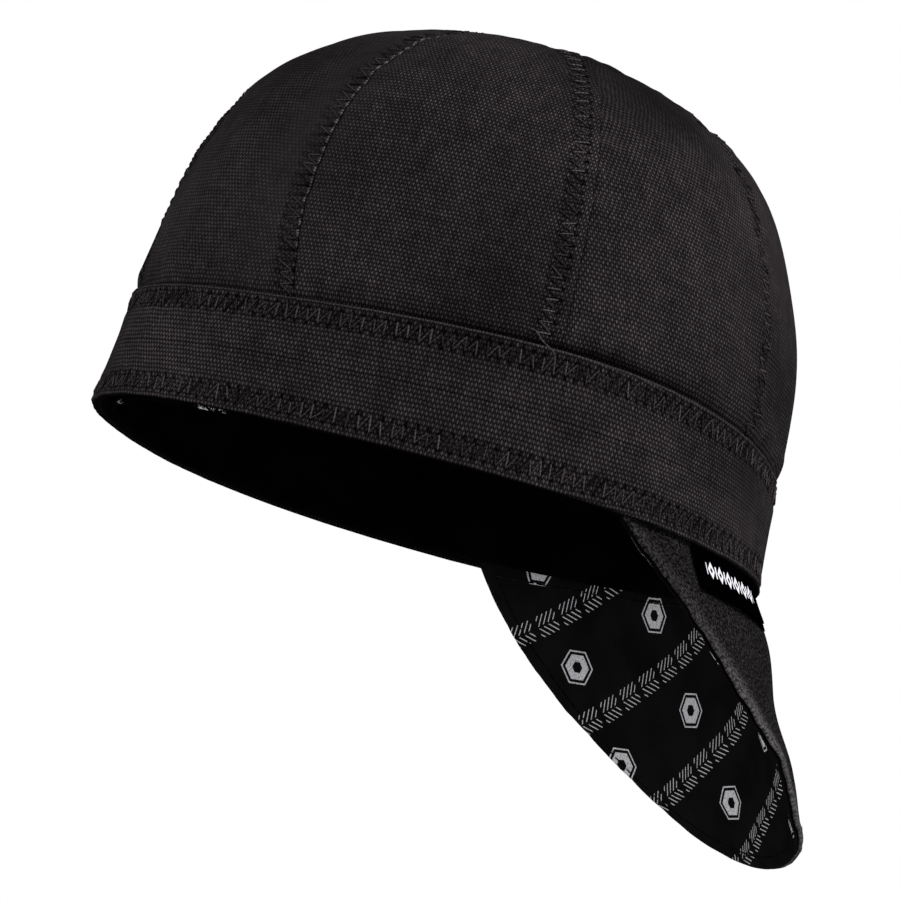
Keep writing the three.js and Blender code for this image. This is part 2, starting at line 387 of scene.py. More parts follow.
def make_mesh(name, points, quads, maps, material):
    """A mesh from points in millimetres. maps is {name: one (u, v) for each quad corner}."""
    mesh = bpy.data.meshes.new(name)
    quads = np.asarray(quads, np.int32)
    sizes = np.full(len(quads), quads.shape[1], np.int32)
    mesh.vertices.add(len(points))
    mesh.vertices.foreach_set("co", (np.asarray(points) * MM).astype(np.float32).ravel())
    mesh.loops.add(quads.size)
    mesh.loops.foreach_set("vertex_index", quads.ravel())
    mesh.polygons.add(len(quads))
    mesh.polygons.foreach_set("loop_start", (np.arange(len(quads)) * quads.shape[1]).astype(np.int32))
    mesh.polygons.foreach_set("loop_total", sizes)
    mesh.update(calc_edges=True)
    for map_name, values in maps.items():
        layer = mesh.uv_layers.new(name=map_name)
        layer.data.foreach_set("uv", np.asarray(values, np.float32).ravel())
    mesh.validate()
    mesh.shade_smooth()
    mesh.materials.append(material)
    piece = bpy.data.objects.new(name, mesh)
    bpy.context.scene.collection.objects.link(piece)
    return piece


def shell(name, sides, maps, material, goes_round=False):
    """A closed wall of cloth: sides is the outer and the inner grid of points, rows from the
    bottom up and columns along the turn. maps is {name: (outer, inner) grids of (u, v)}, with
    one column more than the points where the wall goes all the way round."""
    rows, columns = sides[0].shape[:2]
    spans = columns if goes_round else columns - 1
    count = rows * columns
    points = np.concatenate([side.reshape(-1, 3) for side in sides])
    row, column = np.meshgrid(np.arange(rows - 1), np.arange(spans), indexing="ij")
    row, column = row.ravel(), column.ravel()
    corners, places = [], []

    def add(*cells):
        corners.append(np.stack([side * count + r * columns + c % columns for side, r, c in cells], -1))
        places.append([(np.full_like(c, side), r, c) for side, r, c in cells])

    one = row * 0
    add((one, row, column), (one, row, column + 1), (one, row + 1, column + 1), (one, row + 1, column))
    add((one + 1, row, column), (one + 1, row + 1, column), (one + 1, row + 1, column + 1),
        (one + 1, row, column + 1))
    c = np.arange(spans)
    z = c * 0
    top = z + rows - 1
    add((z, z, c + 1), (z, z, c), (z + 1, z, c), (z + 1, z, c + 1))
    add((z, top, c), (z, top, c + 1), (z + 1, top, c + 1), (z + 1, top, c))
    if not goes_round:
        r = np.arange(rows - 1)
        z = r * 0
        last = z + columns - 1
        add((z + 1, r, z), (z, r, z), (z, r + 1, z), (z + 1, r + 1, z))
        add((z, r, last), (z + 1, r, last), (z + 1, r + 1, last), (z, r + 1, last))
    quads = np.concatenate(corners)
    loops = {}
    for map_name, grids in maps.items():
        stacked = np.stack(grids)
        values = [np.stack([stacked[side, r, c] for side, r, c in cells], 1) for cells in places]
        loops[map_name] = np.concatenate(values)
    piece = make_mesh(name, points, quads, loops, material)
    weld(piece)
    return piece


def weld(piece):
    """Joins points that fall together, as where a panel ends in a tip."""
    work = bmesh.new()
    work.from_mesh(piece.data)
    bmesh.ops.remove_doubles(work, verts=work.verts, dist=2e-6)
    bmesh.ops.dissolve_degenerate(work, edges=work.edges, dist=1e-6)
    work.to_mesh(piece.data)
    work.free()


def tubes(name, paths, radius, material, tones, sides=6):
    """One mesh of many thin threads. paths is an array (threads, points, 3) in millimetres, and
    tones has one lightness from 0 to 1 for each thread."""
    paths = np.asarray(paths, float)
    count, length = paths.shape[:2]
    ahead = np.gradient(paths, axis=1)
    ahead /= np.maximum(np.linalg.norm(ahead, axis=2, keepdims=True), 1e-9)
    side = np.cross(ahead, paths / np.linalg.norm(paths, axis=2, keepdims=True))
    side /= np.maximum(np.linalg.norm(side, axis=2, keepdims=True), 1e-9)
    lift = np.cross(side, ahead)
    angles = np.arange(sides) * 2 * math.pi / sides
    ring = side[:, :, None] * np.cos(angles)[:, None] + lift[:, :, None] * np.sin(angles)[:, None]
    points = (paths[:, :, None] + ring * radius).reshape(-1, 3)
    t, p, s = np.meshgrid(np.arange(count), np.arange(length - 1), np.arange(sides), indexing="ij")
    t, p, s = t.ravel(), p.ravel(), s.ravel()

    def at(point, corner):
        return (t * length + point) * sides + corner % sides

    quads = np.stack([at(p, s), at(p, s + 1), at(p + 1, s + 1), at(p + 1, s)], -1)
    ends = []
    base = np.arange(count) * length * sides
    for offset, order in ((0, -1), ((length - 1) * sides, 1)):
        for k in range(1, sides // 2):
            quad = [base + offset + i % sides for i in (0, 2 * k - 1, 2 * k, 2 * k + 1)][::order]
            ends.append(np.stack(quad, -1))
    quads = np.concatenate([quads, *ends])
    along = np.linspace(0, 1, length)[None, :, None] + np.zeros((count, length, sides))
    around = np.arange(sides)[None, None, :] / sides + np.zeros((count, length, sides))
    tone = np.asarray(tones, float)[:, None, None] + np.zeros((count, length, sides))
    grain = np.stack([along, around], -1).reshape(-1, 2)
    shade = np.stack([tone, 0 * tone], -1).reshape(-1, 2)
    return make_mesh(name, points, quads, {"grain": grain[quads], "tone": shade[quads]}, material)


# Materials

def arithmetic(operation, swapped=False):
    def apply(self, other=0.0):
        operands = (other, self) if swapped else (self, other)
        return self.nodes.math(operation, *operands)
    return apply


class Value:
    """One output of a material's nodes, with the usual arithmetic."""

    def __init__(self, nodes, socket):
        self.nodes = nodes
        self.socket = socket

    __add__ = arithmetic("ADD")
    __radd__ = arithmetic("ADD", swapped=True)
    __sub__ = arithmetic("SUBTRACT")
    __rsub__ = arithmetic("SUBTRACT", swapped=True)
    __mul__ = arithmetic("MULTIPLY")
    __truediv__ = arithmetic("DIVIDE")
    __pow__ = arithmetic("POWER")
    __abs__ = arithmetic("ABSOLUTE")


class Nodes:
    """Short calls for a material's node tree."""

    def __init__(self, name):
        self.material = bpy.data.materials.new(name)
        self.material.use_nodes = True
        self.tree = self.material.node_tree
        self.tree.nodes.clear()
        self.output = self.tree.nodes.new("ShaderNodeOutputMaterial")
        self.shader = self.tree.nodes.new("ShaderNodeBsdfPrincipled")
        self.tree.links.new(self.shader.outputs[0], self.output.inputs[0])

    def link(self, source, target):
        if isinstance(source, Value):
            self.tree.links.new(source.socket, target)
        else:
            target.default_value = source

    def node(self, kind, **settings):
        made = self.tree.nodes.new(kind)
        for key, value in settings.items():
            setattr(made, key, value)
        return made

    def math(self, operation, a, b=0.0, clamp=False):
        made = self.node("ShaderNodeMath", operation=operation, use_clamp=clamp)
        self.link(a, made.inputs[0])
        self.link(b, made.inputs[1])
        return Value(self, made.outputs[0])

    def sine(self, value):
        return self.math("SINE", value)

    def most(self, *values):
        """The largest of the values."""
        largest = values[0]
        for value in values[1:]:
            largest = self.math("MAXIMUM", largest, value)
        return largest

    def place(self, map_name):
        """The map's two coordinates, in millimetres where the map is."""
        split = self.node("ShaderNodeSeparateXYZ")
        self.tree.links.new(self.node("ShaderNodeUVMap", uv_map=map_name).outputs[0], split.inputs[0])
        return Value(self, split.outputs[0]), Value(self, split.outputs[1])

    def vector(self, x, y=0.0, z=0.0):
        made = self.node("ShaderNodeCombineXYZ")
        for value, socket in zip((x, y, z), made.inputs):
            self.link(value, socket)
        return Value(self, made.outputs[0])

    def noise(self, at, scale, detail=2.0, rough=0.5):
        made = self.node("ShaderNodeTexNoise")
        self.link(at, made.inputs["Vector"])
        made.inputs["Scale"].default_value = scale
        made.inputs["Detail"].default_value = detail
        made.inputs["Roughness"].default_value = rough
        return Value(self, made.outputs[0])

    def chance(self, value):
        made = self.node("ShaderNodeTexWhiteNoise", noise_dimensions="1D")
        self.link(value, made.inputs["W"])
        return Value(self, made.outputs[0])

    def ramp(self, value, low, high, out_low=0.0, out_high=1.0, soft=True):
        made = self.node("ShaderNodeMapRange", interpolation_type="SMOOTHSTEP" if soft else "LINEAR")
        self.link(value, made.inputs["Value"])
        limits = {"From Min": low, "From Max": high, "To Min": out_low, "To Max": out_high}
        for name, limit in limits.items():
            made.inputs[name].default_value = limit
        return Value(self, made.outputs[0])

    def blend(self, share, a, b):
        made = self.node("ShaderNodeMix", data_type="RGBA")
        self.link(share, made.inputs[0])
        self.link(a, made.inputs[6])
        self.link(b, made.inputs[7])
        return Value(self, made.outputs[2])

    def bump(self, height, distance, under=None):
        made = self.node("ShaderNodeBump")
        made.inputs["Distance"].default_value = distance
        self.link(height, made.inputs["Height"])
        if under is not None:
            self.link(under, made.inputs["Normal"])
        return Value(self, made.outputs[0])

    def finish(self, color, normal=None, **sockets):
        self.link(color, self.shader.inputs["Base Color"])
        if normal is not None:
            self.link(normal, self.shader.inputs["Normal"])
        for name, value in sockets.items():
            self.shader.inputs[name.replace("_", " ")].default_value = value
        return self.material


def grey(value, warmth=1.0):
    """A near-black with the photograph's slight warmth."""
    return (value * (1 + 0.08 * warmth), value * (1 - 0.06 * warmth), value * (1 - 0.02 * warmth), 1.0)


def centred(nodes, value, pitch):
    """How far a place is from the middle of its cell."""
    return (nodes.math("FRACT", value / pitch) - 0.5) * pitch


def zigzag_marks(nodes):
    """Where a zigzag's needle holes are, the grooves of its long legs, and its row as a whole."""
    along, across = nodes.place("stitch")
    holes = []
    for shift, offset in ((ZIG_LEAN, ZIG_HALF), (0.0, -ZIG_HALF)):
        run = centred(nodes, along - shift + 0.5, 1.0) * ZIG_PERIOD
        rise = (across + offset) * 0.75
        holes.append(nodes.math("SQRT", run * run + rise * rise))
    hole = nodes.ramp(nodes.math("MINIMUM", *holes), 1.25, 0.5)
    share = across * (1 / (2 * ZIG_HALF)) + 0.5
    line = share * (ZIG_LEAN - 1) + along
    off = centred(nodes, line + (0.5 - ZIG_LEAN + GROOVE_SHIFT / ZIG_PERIOD), 1.0)
    groove = nodes.ramp(abs(off), 0.15, 0.04)
    inside = nodes.ramp(abs(across), ZIG_HALF + 0.3, ZIG_HALF - 0.3)
    return hole, groove * inside, inside


def weave(nodes, pitch_a, pitch_b, sunk, wander):
    """The height of a plain weave, from 0 in its pinholes to 1 on the yarns that lie over, and the
    place counted in yarns."""
    a, b = nodes.place("grain")
    drift = nodes.noise(nodes.vector(a, b), 0.16, 2.0) - 0.5
    places = []
    for place, other, pitch, sign in ((a, b, pitch_a, 1), (b, a, pitch_b, -1)):
        shake = nodes.noise(nodes.vector(place, other, 5.0 * sign), 0.8, 1.0) - 0.5
        shift = drift * (6 * sign * wander) + shake * (1.6 * wander)
        places.append((place + shift) / pitch)
    wave_a, wave_b = (nodes.sine(place * math.pi) for place in places)
    over = nodes.ramp(wave_a * wave_b, -0.12, 0.12, sunk, 1.0)
    wave_a, wave_b = abs(wave_a), abs(wave_b)
    yarn = wave_a ** 0.6 * wave_b ** 0.55 * over
    return yarn * 0.85 + nodes.most(wave_a, wave_b) ** 4.0 * 0.15, places


def canvas(name, pitch_a, pitch_b, light, sewn, wear_and_highlight_gain):
    """Black cotton duck: a plain weave of yarns the two pitches apart, in millimetres, whose colour is
    lighter on its yarns and darker in its pinholes, partly as painted highlight and shade. Its folded
    edges are worn lighter with a painted highlight, and painted shade lies in needle holes, grooves and
    where the edge map puts it. sewn is how much a zigzag row darkens and covers the weave."""
    nodes = Nodes(name)
    height, (a, b) = weave(nodes, pitch_a, pitch_b, 0.36, 0.13)
    yarn_a, yarn_b = (nodes.math("FLOOR", place) for place in (a, b))
    slub_a = nodes.noise(nodes.vector(yarn_a * 3.7, b * 0.12), 1.0)
    slub_b = nodes.noise(nodes.vector(a * 0.08, yarn_b * 4.1), 1.0)
    slub = nodes.ramp(slub_a, 0.3, 0.7, 0.82, 1.12) + nodes.ramp(slub_b, 0.3, 0.7, -0.1, 0.1)
    spot = nodes.chance(yarn_b * 17.13 + yarn_a)
    bright = nodes.ramp(spot, 0.85, 1.0, 0.0, 0.12)
    uneven = nodes.ramp(spot, 0.0, 0.85, 0.84, 1.1, soft=False) + bright
    relief = height * slub * uneven
    # The wear map holds how plain the weave is, and the painted shading: painted shade above 0, painted
    # light below
    plain, painted_shading = nodes.place("wear")
    relief = relief + (PLAIN_RELIEF - relief) * plain
    where = nodes.vector(*nodes.place("grain"))
    worn = nodes.ramp(nodes.noise(where, 0.035, 3.0, 0.55), 0.3, 0.7, 0.84, 1.16)
    patch = nodes.ramp(nodes.noise(where, 0.14, 2.0), 0.3, 0.7, 0.94, 1.06)
    fuzz = nodes.noise(where, 5.0, 2.0, 0.7)
    tone = worn * patch * nodes.ramp(fuzz, 0.25, 0.75, 0.75, 1.25) * (1.0 - painted_shading)
    # The weave's colour follows its height: partly the yarns' own grain, partly a painted highlight on
    # yarn crowns and painted shade in pinholes
    share = relief ** 1.4 * tone
    room = 0.6
    color = nodes.blend(nodes.math("MULTIPLY", share, room, clamp=True), grey(0.0006), grey(light / room))
    edge, shade = nodes.place("edge")
    # Worn lighter with a painted highlight along folded edges, broken into beads along a seam's fold
    wear_and_highlight = nodes.ramp(edge, 0.85, 0.2) * nodes.ramp(nodes.noise(where, 0.6), 0.35, 0.65, 0.45, 0.95)
    along, across = nodes.place("stitch")
    beads = nodes.sine(along * (2 * math.pi * ZIG_PERIOD / BEAD_PITCH))
    wear_and_highlight = wear_and_highlight * nodes.ramp(beads, -0.6, 0.7, 0.15, 1.0)
    color = nodes.blend(wear_and_highlight, color, grey(light * wear_and_highlight_gain))
    hole, groove, inside = zigzag_marks(nodes)
    rough = nodes.ramp(nodes.noise(where, 1.1, 2.0), 0.3, 0.65, 0.5, 1.0)
    quiet = nodes.ramp(plain, 0.1, 0.7, 0.6 - sewn, 0.65) * nodes.ramp(across, -1.0, 1.0)
    hole = hole * rough * (1.0 - quiet)
    clear = nodes.ramp(plain, 0.1, 0.7, 0.55 + 0.5 * sewn, 0.05)
    groove = groove * rough * clear
    ragged = nodes.ramp(nodes.noise(where, 0.75, 2.0, 0.6), 0.40, 0.60, 0.15 * sewn, sewn)
    covered = inside * ragged * clear
    # Painted shade in needle holes, in the long legs' grooves and where the edge map paints it, with the
    # zigzag row's darkening
    dark = nodes.most(hole, groove, shade, covered)
    color = nodes.blend(nodes.math("MULTIPLY", dark, 0.95, clamp=True), color, grey(0.0004))
    pressed = hole * 2.2 + groove * 1.5
    normal = nodes.bump(relief - pressed, 0.17 * MM, nodes.bump(fuzz, 0.03 * MM))
    return nodes.finish(color, normal, Roughness=0.85, Specular_IOR_Level=0.0)


def brushed(name):
    """Soft brushed charcoal cotton: a fine mottled fuzz, worn lighter with a painted highlight along its
    turned edge.
    """
    nodes = Nodes(name)
    place = nodes.vector(*nodes.place("grain"))
    nap = nodes.noise(place, 1.15, 3.0, 0.75)
    fluff = nodes.noise(place, 0.4, 3.0, 0.6)
    worn = nodes.noise(place, 0.05, 2.0)
    share = nodes.ramp(nap, 0.4, 0.68) * nodes.ramp(fluff, 0.3, 0.7, 0.55, 1.2)
    share = nodes.math("MULTIPLY", share, nodes.ramp(worn, 0.3, 0.7, 0.8, 1.1), clamp=True)
    color = nodes.blend(share, grey(0.0006), grey(0.0155, 0.6))
    edge, _ = nodes.place("edge")
    _, level = nodes.place("grain")
    # Worn lighter with a painted highlight along the flap's rolled edge, strongest low on the flap
    wear_and_highlight = nodes.ramp(edge, 8.0, 1.0) * nodes.ramp(nap, 0.42, 0.6, 0.15, 0.95)
    wear_and_highlight = wear_and_highlight * nodes.ramp(level, -14.0, -52.0, 0.2, 1.0)
    color = nodes.blend(wear_and_highlight, color, grey(0.048, 0.6))
    normal = nodes.bump(nap, 0.2 * MM, nodes.bump(fluff, 0.35 * MM))
    return nodes.finish(color, normal, Roughness=0.95, Specular_IOR_Level=0.0)


def lining(name, base_low, base_high, ink):
    """Smooth black cotton. ink is a function that says where the print is."""
    nodes = Nodes(name)
    height, _ = weave(nodes, 0.36, 0.36, 0.8, 0.03)
    u, v = nodes.place("grain")
    where = nodes.vector(u, v)
    worn = nodes.ramp(nodes.noise(where, 0.06, 2.0), 0.3, 0.7)
    color = nodes.blend(worn, grey(base_low, 0), grey(base_high, 0))
    rub = nodes.ramp(nodes.noise(where, 1.6, 3.0, 0.7), 0.30, 0.52, 0.25, 1.0)
    color = nodes.blend(ink(nodes, u, v) * rub, color, (0.21, 0.21, 0.22, 1.0))
    return nodes.finish(color, nodes.bump(height, 0.04 * MM), Roughness=0.9, Specular_IOR_Level=0.0)


def print_ink(nodes, u, v):
    """The flap's print: lines of thin chevrons, with a small six-sided nut here and there."""
    side, _ = nodes.place("side")
    tilt = math.radians(-31)
    x = u * math.cos(tilt) + v * math.sin(tilt)
    y = v * math.cos(tilt) - u * math.sin(tilt)

    fold = abs(centred(nodes, y + 9.0, PRINT_ROWS))
    line = nodes.ramp(abs(centred(nodes, x + fold * 0.9, 1.8)), 0.27, 0.12)
    group = nodes.ramp(abs(centred(nodes, x, 9.0)), 3.6, 3.45)
    inside = nodes.ramp(fold, 3.3, 3.15) * nodes.ramp(fold, 0.25, 0.4)
    ink = line * group * inside

    nut_x = abs(centred(nodes, x + 8.0, 36.0))
    nut_y = abs(centred(nodes, y + (9.0 + PRINT_ROWS / 2), PRINT_ROWS))
    slant = nut_y * (math.sqrt(3) / 2) + nut_x * 0.5
    size = nodes.most(nut_x, slant)
    solid = nodes.ramp(size, 3.7, 3.55) * nodes.ramp(size, 1.5, 1.65)
    rim = nodes.ramp(abs(size - 4.7), 0.28, 0.16)
    edge, _ = nodes.place("edge")
    streak = nodes.ramp(v, -11.5, -10.5) * nodes.ramp(v, -3.5, -4.5)
    streak = streak * nodes.ramp(edge, 1.5, 1.2) * nodes.ramp(u, 0.0, -1.0)
    return nodes.most(ink, solid, rim, streak) * nodes.ramp(side, 0.9, 0.98)


def rim_flecks(nodes, u, v):
    """Flecks of print on the crown lining's lower edge, at the front left of the rim."""
    speck = nodes.ramp(nodes.noise(nodes.vector(u, v), 0.9, 2.0), 0.50, 0.62)
    low = nodes.ramp(v, 1.4 - BAND_HEIGHT, 0.9 - BAND_HEIGHT)
    zones = [nodes.ramp(abs(u - middle), reach, reach * 0.7) for middle, reach in FLECK_ZONES]
    return speck * low * nodes.most(*zones)


def woven(name, marked):
    """Tight black tape with fine ribs, and where it is marked, a row of small white lozenges."""
    nodes = Nodes(name)
    u, v = nodes.place("grain")
    texture = nodes.sine(u * (2 * math.pi / TAPE_PICK)) * 0.5 + nodes.sine(v * (2 * math.pi / TAPE_RIB))
    low, high = (0.0001, 0.0001, 0.0001, 1.0), (0.0002, 0.0002, 0.0003, 1.0)
    color = nodes.blend(nodes.ramp(texture, -1.2, 1.2), low, high)
    if marked:
        cell = abs(centred(nodes, u - 5.0, 5.6))
        up = abs(v - 7.6)
        lozenge = up * 0.75 + cell
        mark = nodes.ramp(lozenge, 2.0, 1.85) * nodes.ramp(lozenge, 0.7, 0.85)
        bar = nodes.ramp(cell, 2.35, 2.45) * nodes.ramp(up, 1.8, 1.7)
        ends = nodes.ramp(u, 4.9, 5.0) * nodes.ramp(u, 38.7, 38.6)
        mark = nodes.most(mark, bar) * ends
        color = nodes.blend(mark, color, (0.36, 0.36, 0.38, 1.0))
    return nodes.finish(color, nodes.bump(texture, 0.04 * MM), Roughness=0.7, Specular_IOR_Level=0.0)


def thread(name):
    """Black twisted sewing thread, as light as each thread's tone, which on a zigzag also paints the
    short legs' highlight and the long legs' shade.
    """
    nodes = Nodes(name)
    along, around = nodes.place("grain")
    tone, _ = nodes.place("tone")
    twist = nodes.sine((along * 7.0 + around) * (2 * math.pi))
    share = nodes.ramp(twist, -1.0, 1.0, 0.5, 1.0) * tone
    color = nodes.blend(share, grey(0.001), grey(0.055))
    return nodes.finish(color, nodes.bump(twist, 0.05 * MM), Roughness=0.6, Specular_IOR_Level=0.0)


PANEL_CANVAS = canvas("crown canvas", 0.67, 1.25, 0.0278, 0.3, 2.9)
BAND_CANVAS = canvas("band canvas", 0.66, 1.36, 0.0275, 0.6, 0.95)
BRUSHED = brushed("brushed cotton")
PRINTED = lining("printed lining", 0.0016, 0.0024, print_ink)
# Painted shade: the crown lining is far darker than the flap's printed lining, black cloth darkened
# further to stand in for the shade inside the crown
BARE_SHADED_LINING = lining("bare lining", 0.0003, 0.0008, rim_flecks)
WOVEN = woven("woven tape", True)
WOVEN_BACK = woven("woven tape back", False)
THREAD_BLACK = thread("sewing thread")


def dress(piece, slot, *nodes):
    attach(piece, "root")
    if nodes:
        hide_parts(*nodes)
    return piece


# Sewing

def stitch_paths(point, places, sides, rise, sink=0.35):
    """Threads from each turning point to the next, over a face: point(place, side, up) says where."""
    shares = np.array([0.0, 0.06, 0.2, 0.5, 0.8, 0.94, 1.0])
    heights = np.array([-sink, rise * 0.35, rise * 0.9, rise, rise * 0.9, rise * 0.35, -sink])
    count = len(places) - 1
    bend = RNG.normal(0, 0.22, count)[:, None] * np.sin(math.pi * shares)
    tilt = RNG.uniform(-0.45, 0.45, count)[:, None] * (shares - 0.5)
    a, b = (ends[:-1, None] + np.diff(ends)[:, None] * shares for ends in (places, sides))
    b = b + bend
    return point(a, b, heights[None, :] + tilt)


def zigzag(count, middle, loose):
    """The turning points of a zigzag, as (place in periods, distance across): its short legs lie
    nearly square to the row, and its long ones slant."""
    number = np.arange(2 * count + 1)
    places = number // 2 + np.where(number % 2 == 0, ZIG_LEAN, 1.0)
    sides = middle + np.where(number % 2 == 0, -ZIG_HALF, ZIG_HALF)
    places = places + RNG.normal(0, 0.03 * loose, len(places))
    sides = sides + RNG.normal(0, 0.14 * loose, len(sides))
    return places, sides


def leg_tones(count, short, long):
    """How light each leg of a zigzag is, with a random spread: a painted highlight on the short legs,
    and painted shade on the long legs, which lie deeper in the cloth.
    """
    tones = np.where(np.arange(count) % 2 == 0, long, short)
    return np.clip(tones * RNG.uniform(0.1, 1.45, count), 0, 1)


def running_stitches(name, place, period, tone, slot):
    """A row of straight stitches. place(share, up) gives points along it, for shares from 0 to 1."""
    shares = np.linspace(0, 1, 1201)
    steps = np.linalg.norm(np.diff(place(shares, 0 * shares), axis=0), axis=1)
    run = np.concatenate([[0], np.cumsum(steps)])
    starts = np.arange(0.0, run[-1] - period, period)
    starts = starts + RNG.normal(0, 0.06 * period, len(starts))
    ahead = np.array([0.0, 0.1, 0.4, 0.7, 0.8]) * period
    at = np.interp(starts[:, None] + ahead, run, shares)
    ups = np.array([-0.3, 0.5, 1.0, 0.5, -0.3]) * THREAD + 0 * at
    tones = np.clip(tone * RNG.uniform(0.3, 1.5, len(starts)), 0, 1)
    return dress(tubes(name, place(at, ups), THREAD, THREAD_BLACK, tones), slot)


# The band: a canvas strip folded double

TABLE_TURNS = np.linspace(0, 2 * math.pi, 721)
BAND_RUN = run_along(lambda turn, height: band_face(height, turn), 0.0, TABLE_TURNS)
BAND_PERIODS = round(BAND_RUN[-1] / ZIG_PERIOD)
band_ripples = [(Ripples(14.0), Ripples(5.0)) for _ in range(2)]
band_waves = Waves(45.0, 30.0)
band_creases = Waves(9.0, 40.0)


def band_along(turn):
    """How far along the band a turn lies, in millimetres."""
    return np.interp(np.mod(turn, 2 * math.pi), TABLE_TURNS, BAND_RUN)


def band_lift(turn, height):
    """How far the band's cloth stands off its plain face."""
    along = band_along(turn)
    lift = 0.25 * band_waves(along, height) + 0.05 * band_creases(along, height)
    lift = lift + form(BAND_FORM, turn, height)
    rows = ((height, BAND_ZIG_LOW), (BAND_HEIGHT - height, BAND_ZIG_TOP))
    for (distance, middle), (slow, quick) in zip(rows, band_ripples):
        off = np.abs(distance - middle)
        row = np.exp(-((off / 3.4) ** 4))
        beside = np.exp(-((off / 7.0) ** 2))
        lift = lift - 0.40 * row + beside * (0.20 * slow(along) + 0.13 * quick(along))
    return lift


def band_place(turn, height, depth):
    """A place of the band: its far lower edge hangs a little lower than the CAD's, and its top
    edge climbs a little at the front."""
    low = FAR_RIM_DROP * turn_near(turn, 238, 26) * smooth(height, 20, 0)
    high = FRONT_TOP_RISE * turn_near(turn, -8, 23) * smooth(height, 15, BAND_HEIGHT)
    return below(band_face, turn, height - low + high, depth)


def make_band():
    columns = 640
    turns = np.linspace(0, 2 * math.pi, columns + 1)
    round_off = BAND_WALL / 2
    angles = np.linspace(0, QUARTER, 6)
    fold = [(round_off * (1 - math.cos(a)), round_off * (1 - math.sin(a))) for a in angles]
    rows = fold + [(height, 0.0) for height in np.linspace(round_off, BAND_HEIGHT - round_off, 46)[1:-1]]
    rows += [(BAND_HEIGHT - height, depth) for height, depth in fold[::-1]]
    heights = np.array([row[0] for row in rows])[:, None]
    depths = np.array([row[1] for row in rows])[:, None]
    folded = smooth(depths, 0, round_off)
    turn = turns[None, :-1] + 0 * heights
    height = heights + 0 * turn
    outer = band_place(turn, height, depths - band_lift(turn, height) * (1 - 0.6 * folded))
    back = np.maximum(BAND_WALL - depths * 0.999, depths + 0.001)
    inner = band_place(turn, height, back + 0 * turn)

    along = band_along(turns)
    along[-1] = BAND_RUN[-1]
    along = along[None, :] + 0 * heights
    tighter = 1 + 0.18 * smooth(np.degrees(turns), 96, 122) * smooth(np.degrees(turns), 215, 190)
    grain_heights = BAND_HEIGHT / 2 + (heights - BAND_HEIGHT / 2) * tighter[None, :]
    to_low = heights - BAND_ZIG_LOW
    to_top = heights - (BAND_HEIGHT - BAND_ZIG_TOP)
    across = np.where(np.abs(to_low) < np.abs(to_top), to_low, to_top)
    # Painted shade on the band's lower fold, and on its whole inner face
    under = 0.9 * smooth(heights, 0.75, 0.1)
    # The band's wear, and its painted shading: painted shade above 0 and painted light below
    wear, painted_shading = (form(table, turns[None, :], heights) for table in (BAND_WEAR, BAND_PAINTED_SHADING))
    maps = {
        "grain": (pair(along, grain_heights),) * 2,
        "wear": (pair(wear, painted_shading),) * 2,
        "stitch": (pair(along / BAND_RUN[-1] * BAND_PERIODS, across), pair(0 * along, FAR_OFF)),
        "edge": (pair(0 * along + BAND_HEIGHT - heights, under), pair(0 * along + FAR_OFF, 0.9)),
    }
    piece = shell("canvas_band", (outer, inner), maps, BAND_CANVAS, goes_round=True)
    return dress(piece, "canvas", "crown_band")


def make_band_stitches():
    def point(along, height, up):
        turn = np.interp(np.mod(along, 1.0) * BAND_RUN[-1], BAND_RUN, TABLE_TURNS)
        return band_place(turn, height, -band_lift(turn, height) - up)

    rows = {"band_stitches_low": BAND_ZIG_LOW, "band_stitches_top": BAND_HEIGHT - BAND_ZIG_TOP}
    for name, middle in rows.items():
        places, sides = zigzag(BAND_PERIODS, middle, 2.4)
        places[-1] = BAND_PERIODS + places[0]
        sides[-1] = sides[0]
        places = places / BAND_PERIODS
        paths = stitch_paths(point, places, sides, THREAD * 0.8)
        tones = leg_tones(len(paths), 0.56, 0.33)
        dress(tubes(name, paths, 1.15 * THREAD, THREAD_BLACK, tones), "canvas")


def make_stray_thread():
    """A thread end that has come loose where the second seam meets the band."""
    share = np.linspace(0, 1, 16)
    turn = np.radians(88.2 + 4.6 * share + 0.35 * np.sin(share * 9))
    height = BAND_HEIGHT + 3.6 - 5.4 * share ** 1.2
    stand = 0.5 + 0.5 * np.sin(share * math.pi)
    path = below(band_face, turn, height, -stand)
    return dress(tubes("stray_thread", path[None], THREAD * 0.7, THREAD_BLACK, [0.7]), "canvas")


# The crown's panels

crown_waves = Waves(70.0, 60.0)
crown_creases = Waves(16.0, 60.0)
seam_slow = [Ripples(16.0) for _ in range(PANELS)]
seam_quick = [Ripples(6.0) for _ in range(PANELS)]
foot_ripple = [Ripples(11.0), Ripples(23.0)]
RUN_LEVELS = np.linspace(0, 1, 241)


def seam_turn(index):
    return math.radians(SEAM_DEGREES[index])


def seam_at(index, climb):
    """A seam's turn where it climbs the crown."""
    turn = seam_turn(index)
    for middle, tall, sway in SEAM_SWAYS.get(index, ()):
        turn = turn + math.radians(sway) * near(climb, middle, tall)
    return turn


def middle_of(index):
    return (seam_turn(index) + seam_turn(index + 1)) / 2


CROWN_RUNS = [run_along(crown_face, middle_of(i), RUN_LEVELS) for i in range(PANELS)]
SEAM_RUNS = [run_along(crown_face, seam_turn(i), RUN_LEVELS) for i in range(PANELS)]


def ease_share(climb):
    return smooth(CROWN_RISE * np.sin(climb * QUARTER), 0, CROWN_EASE)


def panel_depth(climb):
    return HEM_DEPTH * (1 - ease_share(climb))


def pleat_lift(index, run, to_left, to_right):
    total = 0 * run
    for seam, place, lean, half, depth, high in PLEATS:
        if seam == index + 1:
            beside = to_right
        elif seam % PANELS == index:
            beside = -to_left
        else:
            continue
        ridge = np.exp(-(((beside - place - lean * run) / half) ** 2))
        total = total + depth * ridge * smooth(run, high, high * 0.25)
    return total


